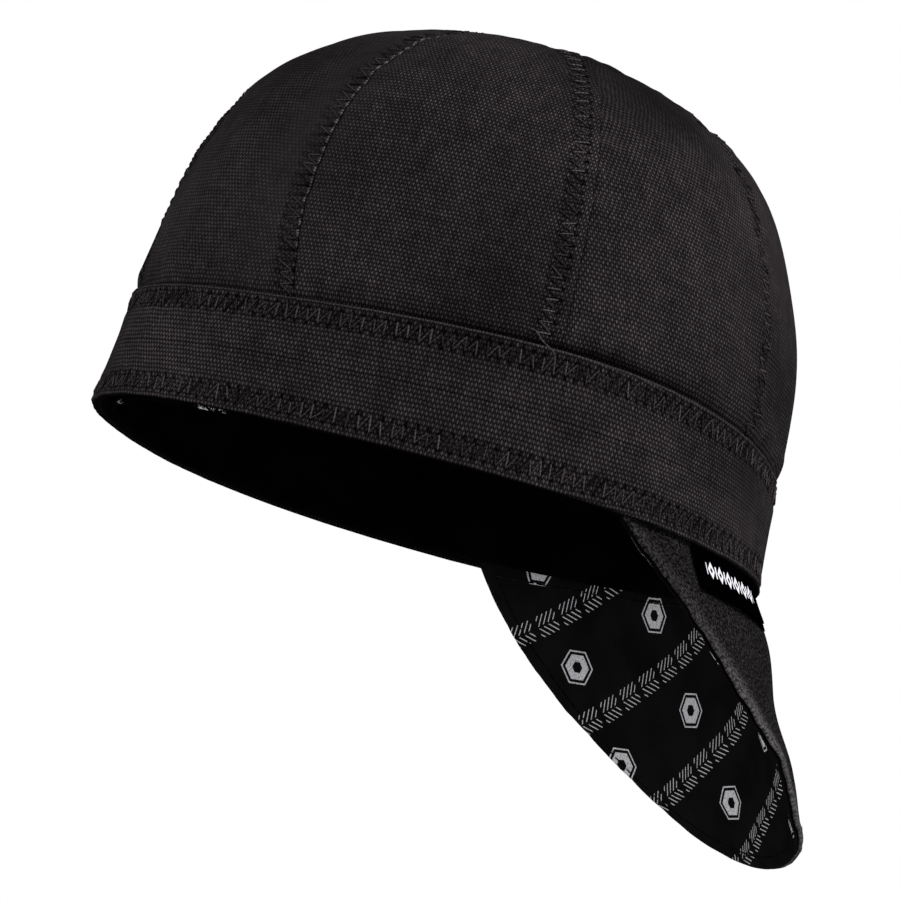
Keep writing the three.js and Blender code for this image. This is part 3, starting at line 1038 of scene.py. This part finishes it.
def panel_lift(index, turn, climb, to_left, to_right):
    """How far a panel's cloth stands off the crown's plain face. to_left and to_right are how
    far the place is from the panel's two edges, the right one being the folded one."""
    right = (index + 1) % PANELS
    eased = ease_share(climb)
    run = np.interp(climb, RUN_LEVELS, CROWN_RUNS[index])
    left_run = np.interp(climb, RUN_LEVELS, SEAM_RUNS[index])
    right_run = np.interp(climb, RUN_LEVELS, SEAM_RUNS[right])
    tight = smooth(np.maximum(to_left + to_right, 1e-6), 4, 30)
    margin = 0.40 * smooth(to_right, SEAM_MARGIN + 2.2, SEAM_MARGIN - 1.6)
    channel = -0.34 * np.exp(-(((to_right - SEAM_ZIGS[index]) / 2.9) ** 4))
    lift = (margin + channel) * np.minimum(tight + 0.25, 1) * SEAM_RAISES[index]
    lift = lift - 0.42 * smooth(to_left, 2.2, 0.0) * np.minimum(tight + 0.25, 1) * SEAM_RAISES[index - 1]
    for distance, place, number in ((to_left, left_run, index), (to_right, right_run, right)):
        beside = np.exp(-((distance / 11.0) ** 2)) * min(1, 0.25 + SEAM_RAISES[number - 1])
        close = np.exp(-((distance / 7.5) ** 2)) * SEAM_RAISES[number - 1]
        pucker = 0.30 * beside * seam_slow[number](place) + 0.13 * close * seam_quick[number](place)
        lift = lift + tight * pucker
    along = turn * CROWN_RADIUS
    lift = lift + tight * (0.38 * crown_waves(along, run) + 0.12 * crown_creases(along, run))
    lift = lift + form(CROWN_FORM, turn, climb)
    along = turn * FOOT_RADIUS
    foot = np.exp(-((run / 16.0) ** 2))
    lift = lift + foot * (0.25 * foot_ripple[0](along) + 0.30 * foot_ripple[1](along))
    lift = lift * (0.25 + 0.75 * eased)
    puff = PUFF * (1 - 0.8 * turn_near(turn, *OPEN_FOOT)) * (1 - 0.55 * turn_near(turn, -12, 26))
    puff = puff * smooth(run, 0.1, 3) * smooth(run, 11, 3)
    return lift + puff + (0.35 + 0.65 * eased) * pleat_lift(index, run, to_left, to_right)


def lip_of(width):
    """How far a panel's folded edge reaches over the next panel."""
    return np.minimum(LIP, 0.12 * width)


def panel_columns(face, index, level, count=56, margin_count=12):
    """The turns of a panel's columns at each level, and their distances from its edges."""
    climb = level if face is crown_face else 0 * level
    first, last = seam_at(index, climb) + 0 * climb, seam_at(index + 1, climb) + 0 * climb
    whole = (last - first) * run_per_turn(face, (first + last) / 2, level)
    start = first + np.minimum(CLEARANCE / 2, 0.05 * whole) / run_per_turn(face, first, level)
    end = last + lip_of(whole) / run_per_turn(face, last, level)
    width = whole + lip_of(whole)
    margin = np.minimum(9.5, width * 0.45)
    edge = 1 - np.linspace(1, 0, margin_count) ** 1.4
    share_plain = np.linspace(0, 1, count)[None, :] * (1 - margin / width)[:, None]
    share_edge = 1 - (margin / width)[:, None] * (1 - edge[None, 1:])
    shares = np.concatenate([share_plain, share_edge], 1)
    turns = start[:, None] + (end - start)[:, None] * shares
    back = 1 - (lip_of(whole) + np.minimum(CLEARANCE / 2, 0.05 * whole)) / width
    return turns, shares * width[:, None], (1 - shares) * width[:, None], start[:, None], back[:, None]


def make_panel(index):
    hem_levels = BAND_HEIGHT - np.array([CROWN_HEM, CROWN_HEM * 0.66, CROWN_HEM * 0.33])
    ease_climb = math.asin(CROWN_EASE / CROWN_RISE) / QUARTER
    climbs = np.concatenate([
        np.linspace(0, ease_climb, 11)[:-1],
        np.linspace(ease_climb, 0.93, 118)[:-1],
        1 - (1 - 0.93) * np.linspace(1, 0.03, 22),
    ])
    outer, inner, grain, stitch, edge, wear = [], [], [], [], [], []
    middle_turn = middle_of(index)
    right = (index + 1) % PANELS
    for face, levels in ((band_face, hem_levels), (crown_face, climbs)):
        turns, to_left, to_right, start, back = panel_columns(face, index, levels)
        level = levels[:, None] + 0 * turns
        if face is band_face:
            lift = 0 * turns
            depth = HEM_DEPTH + 0 * turns
            run = (levels - BAND_HEIGHT)[:, None] + 0 * turns
            seam_run = run
        else:
            lift = panel_lift(index, turns, level, to_left, to_right)
            depth = panel_depth(level)
            run = np.interp(level, RUN_LEVELS, CROWN_RUNS[index])
            seam_run = np.interp(level, RUN_LEVELS, SEAM_RUNS[right])
        roll = 0.30 * smooth(to_right, 0.5, 0.0) ** 2
        wall = np.maximum(CROWN_CLOTH - np.clip(lift, -0.45, 0.2), 0.4 - lift)
        outer.append(below(face, turns, level, depth - lift + roll))
        inner.append(below(face, start + (turns - start) * back, level, depth + wall))
        across = (turns - middle_turn) * run_per_turn(face, middle_turn, levels)[:, None]
        across = across + BIAS.get(index, 0.0) * run
        # Painted shade: a dark strip on the crown just above the band, wider and darker where the crown
        # stands open from the band, and a painted shadow line along the panel's left edge, beside the
        # previous panel's fold
        open_gap = turn_near(turns, *OPEN_FOOT)
        shade = (0.5 + 0.4 * open_gap) * smooth(run, 1.3 + 4.0 * open_gap, 0.4 + 0.9 * open_gap)
        line = SEAM_LINES[index - 1] * smooth(to_left, 0.95, 0.25) * (0.75 + 0.25 * foot_ripple[0](run))
        shade = np.maximum(shade, line)
        on_crown = float(face is crown_face)
        # The crown's wear, and its painted shading: painted shade above 0 and painted light below
        wear.append(on_crown * pair(form(CROWN_WEAR, turns, level), form(CROWN_PAINTED_SHADING, turns, level)))
        grain.append(pair(across, run))
        stitch.append(pair(seam_run / ZIG_PERIOD, to_right - SEAM_ZIGS[index]))
        # The fold's worn, painted highlight is strongest where SEAM_LINES is high, and fades near the
        # crown's top and foot
        kept = 1 - 0.75 * (smooth(level, 0.62, 0.80) + smooth(level, 0.12, 0.03))
        edge.append(pair(to_right + 1.2 * (1 - SEAM_LINES[index] * kept), shade))
    outer, inner, grain, stitch, edge, wear = (
        np.concatenate(part) for part in (outer, inner, grain, stitch, edge, wear))
    away = pair(stitch[..., 0], FAR_OFF)
    maps = {"grain": (grain, grain), "stitch": (stitch, away), "edge": (edge, edge), "wear": (wear, wear)}
    piece = shell(f"canvas_panel_{index + 1}", (outer, inner), maps, PANEL_CANVAS)
    return dress(piece, "canvas", f"crown_panel_{index + 1}")


def make_seam_stitches():
    paths, tones = [], []
    for index in range(PANELS):
        right = (index + 1) % PANELS
        count = int((SEAM_RUNS[right][-1] - 6) / ZIG_PERIOD)

        def point(run, to_right, up):
            climb = np.interp(run, SEAM_RUNS[right], RUN_LEVELS)
            first, last = seam_at(index, climb), seam_at(index + 1, climb)
            per_turn = np.maximum(run_per_turn(crown_face, last, climb), 1.0)
            turn = last + (lip_of(per_turn * (last - first)) - to_right) / per_turn
            to_left = np.maximum((turn - first) * per_turn, 0)
            lift = panel_lift(index, turn, climb, to_left, to_right)
            return below(crown_face, turn, climb, panel_depth(climb) - lift - up)

        places, sides = zigzag(count, 0.0, 1.3)
        places = places * ZIG_PERIOD
        climb = np.interp(places, SEAM_RUNS[right], RUN_LEVELS)
        first, last = seam_at(index, climb), seam_at(index + 1, climb)
        width = run_per_turn(crown_face, last, climb) * (last - first)
        sides = (SEAM_ZIGS[index] + sides) * np.clip((width - 3) / 12, 0.15, 1)
        paths.append(stitch_paths(point, places, sides, THREAD * 0.8))
        tones.append(leg_tones(len(places) - 1, *SEAM_TONES[index]))
    piece = tubes("seam_stitches", np.concatenate(paths), THREAD, THREAD_BLACK, np.concatenate(tones))
    return dress(piece, "canvas")


# The crown's lining

def make_lining():
    turns = np.linspace(0, 2 * math.pi, 221)
    ease_climb = math.asin(CROWN_EASE / CROWN_RISE) / QUARTER
    heights = np.concatenate([[LINING_EDGE_RISE], np.linspace(1.5, FLAP_TUCK + BAND_WALL, 7)])
    climbs = np.concatenate([np.linspace(0, ease_climb, 5)[:-1], np.linspace(ease_climb, 1, 70)])
    foot = HEM_DEPTH + LINING_CROWN_DEPTH
    wrinkle = Waves(30.0, 55.0)
    outer, inner, grain = [], [], []
    high = run_along(crown_face, QUARTER, climbs)
    for face, levels, depths, runs in (
        (band_face, heights, np.full(len(heights), LINING_RIM_DEPTH), heights - BAND_HEIGHT),
        (crown_face, climbs, mix(foot, LINING_CROWN_DEPTH, ease_share(climbs)), high),
    ):
        turn = turns[None, :-1] + 0 * levels[:, None]
        level = levels[:, None] + 0 * turn
        if face is band_face:
            peek = 0.9 * turn_near(turn, 5, 4) + 0.55 * turn_near(turn, 37, 7)
            level = level - peek * smooth(level, 3, 0.5)
        depth = depths[:, None] + 0 * turn
        fade = np.clip(run_per_turn(face, turn, level) / 60, 0, 1)
        sag = 0.5 * (1 + wrinkle(turn * LINING_RADIUS, runs[:, None])) * fade
        outer.append(below(face, turn, level, depth + 0.3 * sag))
        inner.append(below(face, turn, level, depth + LINING_CLOTH + 0.5 * sag))
        grain.append(pair(turns[None, :] * LINING_RADIUS, runs[:, None]))
    sides = np.concatenate(outer), np.concatenate(inner)
    maps = {"grain": (np.concatenate(grain),) * 2}
    piece = shell("lining_dome", sides, maps, BARE_SHADED_LINING, goes_round=True)
    return dress(piece, "lining", "crown_lining")


# The neck flap

flap_waves = Waves(55.0, 45.0)
flap_creases = Waves(14.0, 40.0)
flap_edge = [Ripples(13.0), Ripples(5.0)]


def flap_half(drop):
    """Half the turn that the flap spans at a drop, and less of it low on the far side."""
    return FLAP_HALF_TURN * np.sqrt(np.maximum(1 - drop / FLAP_DROP, 0))


def far_trim(turn, drop):
    far = turn > math.pi
    return 1 - 0.045 * near(drop, 58, 15) * far - 0.03 * near(drop, 26, 12) * (1 - far)


def edge_distance(turn, level):
    """About how far a place on the flap is from the flap's free edge."""
    drop = np.clip(-level, 0, FLAP_DROP)
    off = np.abs(turn - math.pi)
    level_way = np.maximum(flap_half(drop) * far_trim(turn, drop) - off, 0) * FLAP_RADIUS
    down_way = np.maximum(FLAP_DROP * (1 - (off / FLAP_HALF_TURN) ** 2) - drop, 0)
    return level_way * down_way / np.maximum(np.hypot(level_way, down_way), 1e-6)


def flap_lift(turn, level):
    """How far the flap bulges off its plain face: it stays put at the band."""
    drop = -np.minimum(level, 0)
    loose = smooth(drop, 6, 45)
    along = (turn - math.pi) * FLAP_RADIUS
    lift = loose * (0.7 * flap_waves(along, drop) + 0.15 * flap_creases(along, drop))
    lift = lift + form(FLAP_FORM, turn, drop) * smooth(drop, 2, 12)
    beside = np.exp(-((edge_distance(turn, level) / 4.0) ** 2)) * smooth(drop, 1, 8)
    run = drop * 1.25 + 0.3 * along
    return lift + beside * (0.16 * flap_edge[0](run) + 0.07 * flap_edge[1](run))


def flap_grid(rows, columns):
    """The turns and levels of a flap layer: rows from its round tip up to the rim."""
    width = np.sin(np.linspace(0, 1, rows) * QUARTER)
    width[0] = math.sin(0.004 * QUARTER)
    drop = FLAP_DROP * (1 - width ** 2)
    shares = np.linspace(-1, 1, columns)
    shares = np.sign(shares) * (1 - (1 - np.abs(shares)) ** 1.4)
    off = (FLAP_HALF_TURN * width)[:, None] * shares[None, :]
    off = off * far_trim(math.pi + off, drop[:, None])
    return math.pi + off, -drop[:, None] + 0 * off


def make_flap_layer(name, node, slot, material, depth, cloth, welt):
    turns, levels = flap_grid(rows=84, columns=180)
    tuck_levels = np.linspace(0, FLAP_TUCK, 4)[1:]
    to_edge = edge_distance(turns, levels)
    roll = 0.35 * cloth * smooth(to_edge, 0.8, 0.0)
    lift = flap_lift(turns, levels)
    puffed = welt * near(to_edge, 1.7, 1.2) * (0.7 + 0.3 * flap_edge[1](levels * 1.25))
    outside = below(flap_face, turns, levels, depth - lift - puffed + roll)
    inside = below(flap_face, turns, levels, depth - lift + cloth - roll)
    tuck_turns = np.repeat(turns[-1:], len(tuck_levels), 0)
    tuck = tuck_levels[:, None] + 0 * tuck_turns
    tucked_depth = depth + HEM_DEPTH + 0 * tuck
    outside = np.concatenate([outside, below(band_face, tuck_turns, tuck, tucked_depth)])
    inside = np.concatenate([inside, below(band_face, tuck_turns, tuck, tucked_depth + cloth)])
    all_turns = np.concatenate([turns, tuck_turns])
    all_levels = np.concatenate([levels, tuck])
    grain = pair((all_turns - math.pi) * FLAP_RADIUS, all_levels)
    edge = pair(np.concatenate([to_edge, FAR_OFF + 0 * tuck]), 0)
    maps = {"grain": (grain, grain), "edge": (edge, edge), "side": (0 * edge, 0 * edge + 1)}
    return dress(shell(name, (outside, inside), maps, material), slot, node)


def make_flap_stitches():
    """Straight rows on the flap's printed side: along its free edge and just under the rim."""
    inside = FLAP_CLOTH + CLEARANCE + FLAP_LINING_CLOTH

    def place(turn, level, up):
        return below(flap_face, turn, level, inside - flap_lift(turn, level) + up)

    def edge_row(share, up):
        across = 2 * share - 1
        turn = math.pi + (FLAP_HALF_TURN - 1.2 * EDGE_ROW / FLAP_RADIUS) * across
        turn = math.pi + (turn - math.pi) * far_trim(turn, 0 * turn)
        return place(turn, -(FLAP_DROP - EDGE_ROW) * (1 - across ** 2), up)

    def rim_row(share, up):
        turn = math.pi + 0.97 * FLAP_HALF_TURN * (2 * share - 1)
        return place(turn, 0 * turn - RIM_ROW, up)

    running_stitches("flap_edge_stitches", edge_row, 2.9, 0.05, "lining")
    running_stitches("flap_rim_stitches", rim_row, 2.7, 0.10, "lining")


# The woven tab

def make_tab(name, from_end, to_end, top, low, off_back, off_front, material, *nodes):
    """One layer of the folded tape: from and to where it goes along the band, its top and lower
    edge, and how far its two faces stand off the flap."""
    columns, rows = 70, 22
    per_turn = float(run_per_turn(band_face, np.array(TAB_START_TURN), np.array(0.0)))
    share = np.linspace(0, 1, columns)[None, :] + np.zeros((rows, 1))
    along = mix(from_end, to_end, share)
    turn = TAB_START_TURN + along / per_turn
    drop = mix(low(share), top + 0 * share, np.linspace(0, 1, rows)[:, None])
    stand = 0.5 * smooth(share, 0.55, 1.0) * smooth(drop, 0, TAB_DROP)
    stand = stand + 0.12 * np.sin(share * 7 + drop * 0.3)
    out = level_outward(turn)
    bulge = form(FLAP_FORM, turn, drop) * smooth(drop, 2, 12)
    base = flap_face(turn, -drop) + out * bulge[..., None]
    outer = base + out * (CLEARANCE + off_front + stand)[..., None]
    inner = base + out * (CLEARANCE + off_back + stand * 0.8)[..., None]
    grain = pair(along, TAB_DROP - drop)
    return dress(shell(name, (outer, inner), {"grain": (grain, grain)}, material), "woven_tape", *nodes)


# Putting it together, and the flat size of each piece of cloth

def cut(piece, width, length, area=None):
    area = None if area is None else area * MM * MM


def gore_size(index):
    """A panel's width, length and area when it lies flat, with its hem."""
    first, last = seam_turn(index), seam_turn(index + 1)
    run = CROWN_RUNS[index]
    widths = (last - first) * run_per_turn(crown_face, middle_of(index), RUN_LEVELS)
    area = np.sum((widths[1:] + widths[:-1]) / 2 * np.diff(run)) + widths[0] * CROWN_HEM
    return widths.max(), run[-1] + CROWN_HEM, area


band = make_band()
make_band_stitches()
panels = [make_panel(index) for index in range(PANELS)]
make_seam_stitches()
make_stray_thread()
dome = make_lining()
flap = make_flap_layer("flap_cloth", "neck_flap", "brushed_cotton", BRUSHED, 0.0, FLAP_CLOTH, 0.35)
flap_lining = make_flap_layer("flap_print", "neck_flap_lining", "lining", PRINTED,
                              FLAP_CLOTH + CLEARANCE, FLAP_LINING_CLOTH, 0.0)
make_flap_stitches()
tab = make_tab("woven_tab", 0.0, TAB_LENGTH - 1.5, CLEARANCE, lambda share: TAB_DROP - 1.2 * share ** 3,
               0.55, 1.25, WOVEN, "side_tab")
tab_back = make_tab("woven_tab_back", 1.5, TAB_LENGTH + 1.0, CLEARANCE + 0.6,
                    lambda share: TAB_DROP - 0.9 + 1.5 * share ** 2, 0.0, 0.45, WOVEN_BACK)

cut(band, BAND_RUN[-1], BAND_HEIGHT)
gores = [gore_size(index) for index in range(PANELS)]
for panel, (width, length, area) in zip(panels, gores):
    cut(panel, width, length, area)
under_gores = BAND_HEIGHT - CROWN_HEM
whole = sum(width for width, length, area in gores)
deepest = max(length for width, length, area in gores) + under_gores
dome_area = sum(area for width, length, area in gores) + whole * under_gores
cut(dome, whole, deepest, min(dome_area, 0.95 * whole * deepest))
flap_width = 2 * FLAP_HALF_TURN * FLAP_RADIUS
flap_area = flap_width * (FLAP_DROP * 2 / 3 + FLAP_TUCK)
for layer in (flap, flap_lining):
    cut(layer, flap_width, FLAP_DROP + FLAP_TUCK, flap_area)
cut(tab, TAB_LENGTH, TAB_DROP)
cut(tab_back, TAB_LENGTH, TAB_DROP)


# Floor, camera and light

def place_floor():
    bpy.ops.mesh.primitive_circle_add(
        vertices=96, radius=FLOOR_RADIUS, fill_type="NGON", location=(0, 0, FLOOR_LEVEL))
    floor = bpy.context.object
    floor.name = "floor"
    nodes = Nodes("floor")
    where = Value(nodes, nodes.node("ShaderNodeNewGeometry").outputs["Position"])
    spot = nodes.noise(where, 3.0)
    nodes.finish(nodes.blend(spot, (0.80, 0.80, 0.80, 1), (0.84, 0.84, 0.84, 1)), Roughness=0.7)
    floor.data.materials.append(nodes.material)


def place_light(name, at, size, power, target=(0, 0, 0.05)):
    light = bpy.data.lights.new(name, "AREA")
    light.shape = "RECTANGLE"
    light.size, light.size_y = size
    light.energy = power
    lamp = bpy.data.objects.new(name, light)
    lamp.location = at
    lamp.rotation_euler = (Vector(target) - Vector(at)).to_track_quat("-Z", "Y").to_euler()
    bpy.context.scene.collection.objects.link(lamp)


def place_camera():
    azimuth, elevation, roll = map(math.radians, (CAMERA_AZIMUTH, CAMERA_ELEVATION, CAMERA_ROLL))
    toward = Vector((math.sin(azimuth) * math.cos(elevation), -math.cos(azimuth) * math.cos(elevation),
                     math.sin(elevation)))
    forward = -toward
    right = forward.cross(Vector((0, 0, 1))).normalized()
    up = right.cross(forward)
    tilted_right = right * math.cos(roll) + up * math.sin(roll)
    tilted_up = up * math.cos(roll) - right * math.sin(roll)
    place = toward * CAMERA_DISTANCE
    aim_right, aim_up = (pixels * CAMERA_DISTANCE / CAMERA_FOCAL for pixels in CAMERA_AIM)
    aim = tilted_right * aim_right + tilted_up * aim_up
    back = (place - aim).normalized()
    across = tilted_up.cross(back).normalized()
    over = back.cross(across)
    turned = Matrix((across, over, back)).transposed()
    camera = bpy.data.cameras.new("camera")
    camera.sensor_width = SENSOR_WIDTH
    camera.lens = CAMERA_FOCAL / PICTURE_WIDTH * SENSOR_WIDTH
    camera.clip_start, camera.clip_end = 0.05, 30
    seen = bpy.data.objects.new("camera", camera)
    seen.matrix_world = Matrix.Translation(place * MM) @ turned.to_4x4()
    bpy.context.scene.collection.objects.link(seen)
    bpy.context.scene.camera = seen
    return tilted_right, tilted_up, toward


scene = bpy.context.scene
scene.view_settings.view_transform = "Standard"
world = bpy.data.worlds.new("studio")
world.use_nodes = True
world.node_tree.nodes["Background"].inputs[0].default_value = (1.0, 1.0, 1.0, 1.0)
world.node_tree.nodes["Background"].inputs[1].default_value = 1.0
scene.world = world
camera_right, camera_up, camera_toward = place_camera()


def from_camera(right, up, toward):
    """A place given by how far it is across, up and towards the camera, in metres."""
    return tuple(camera_right * right + camera_up * up + camera_toward * toward)


place_light("key", from_camera(1.25, 0.85, 0.3), (0.5, 0.7), 48.0)
place_light("fill", from_camera(-1.3, 0.6, 0.15), (0.6, 0.9), 17.0)
place_light("top", from_camera(-0.1, 1.6, 0.25), (0.8, 0.5), 9.0)
place_floor()
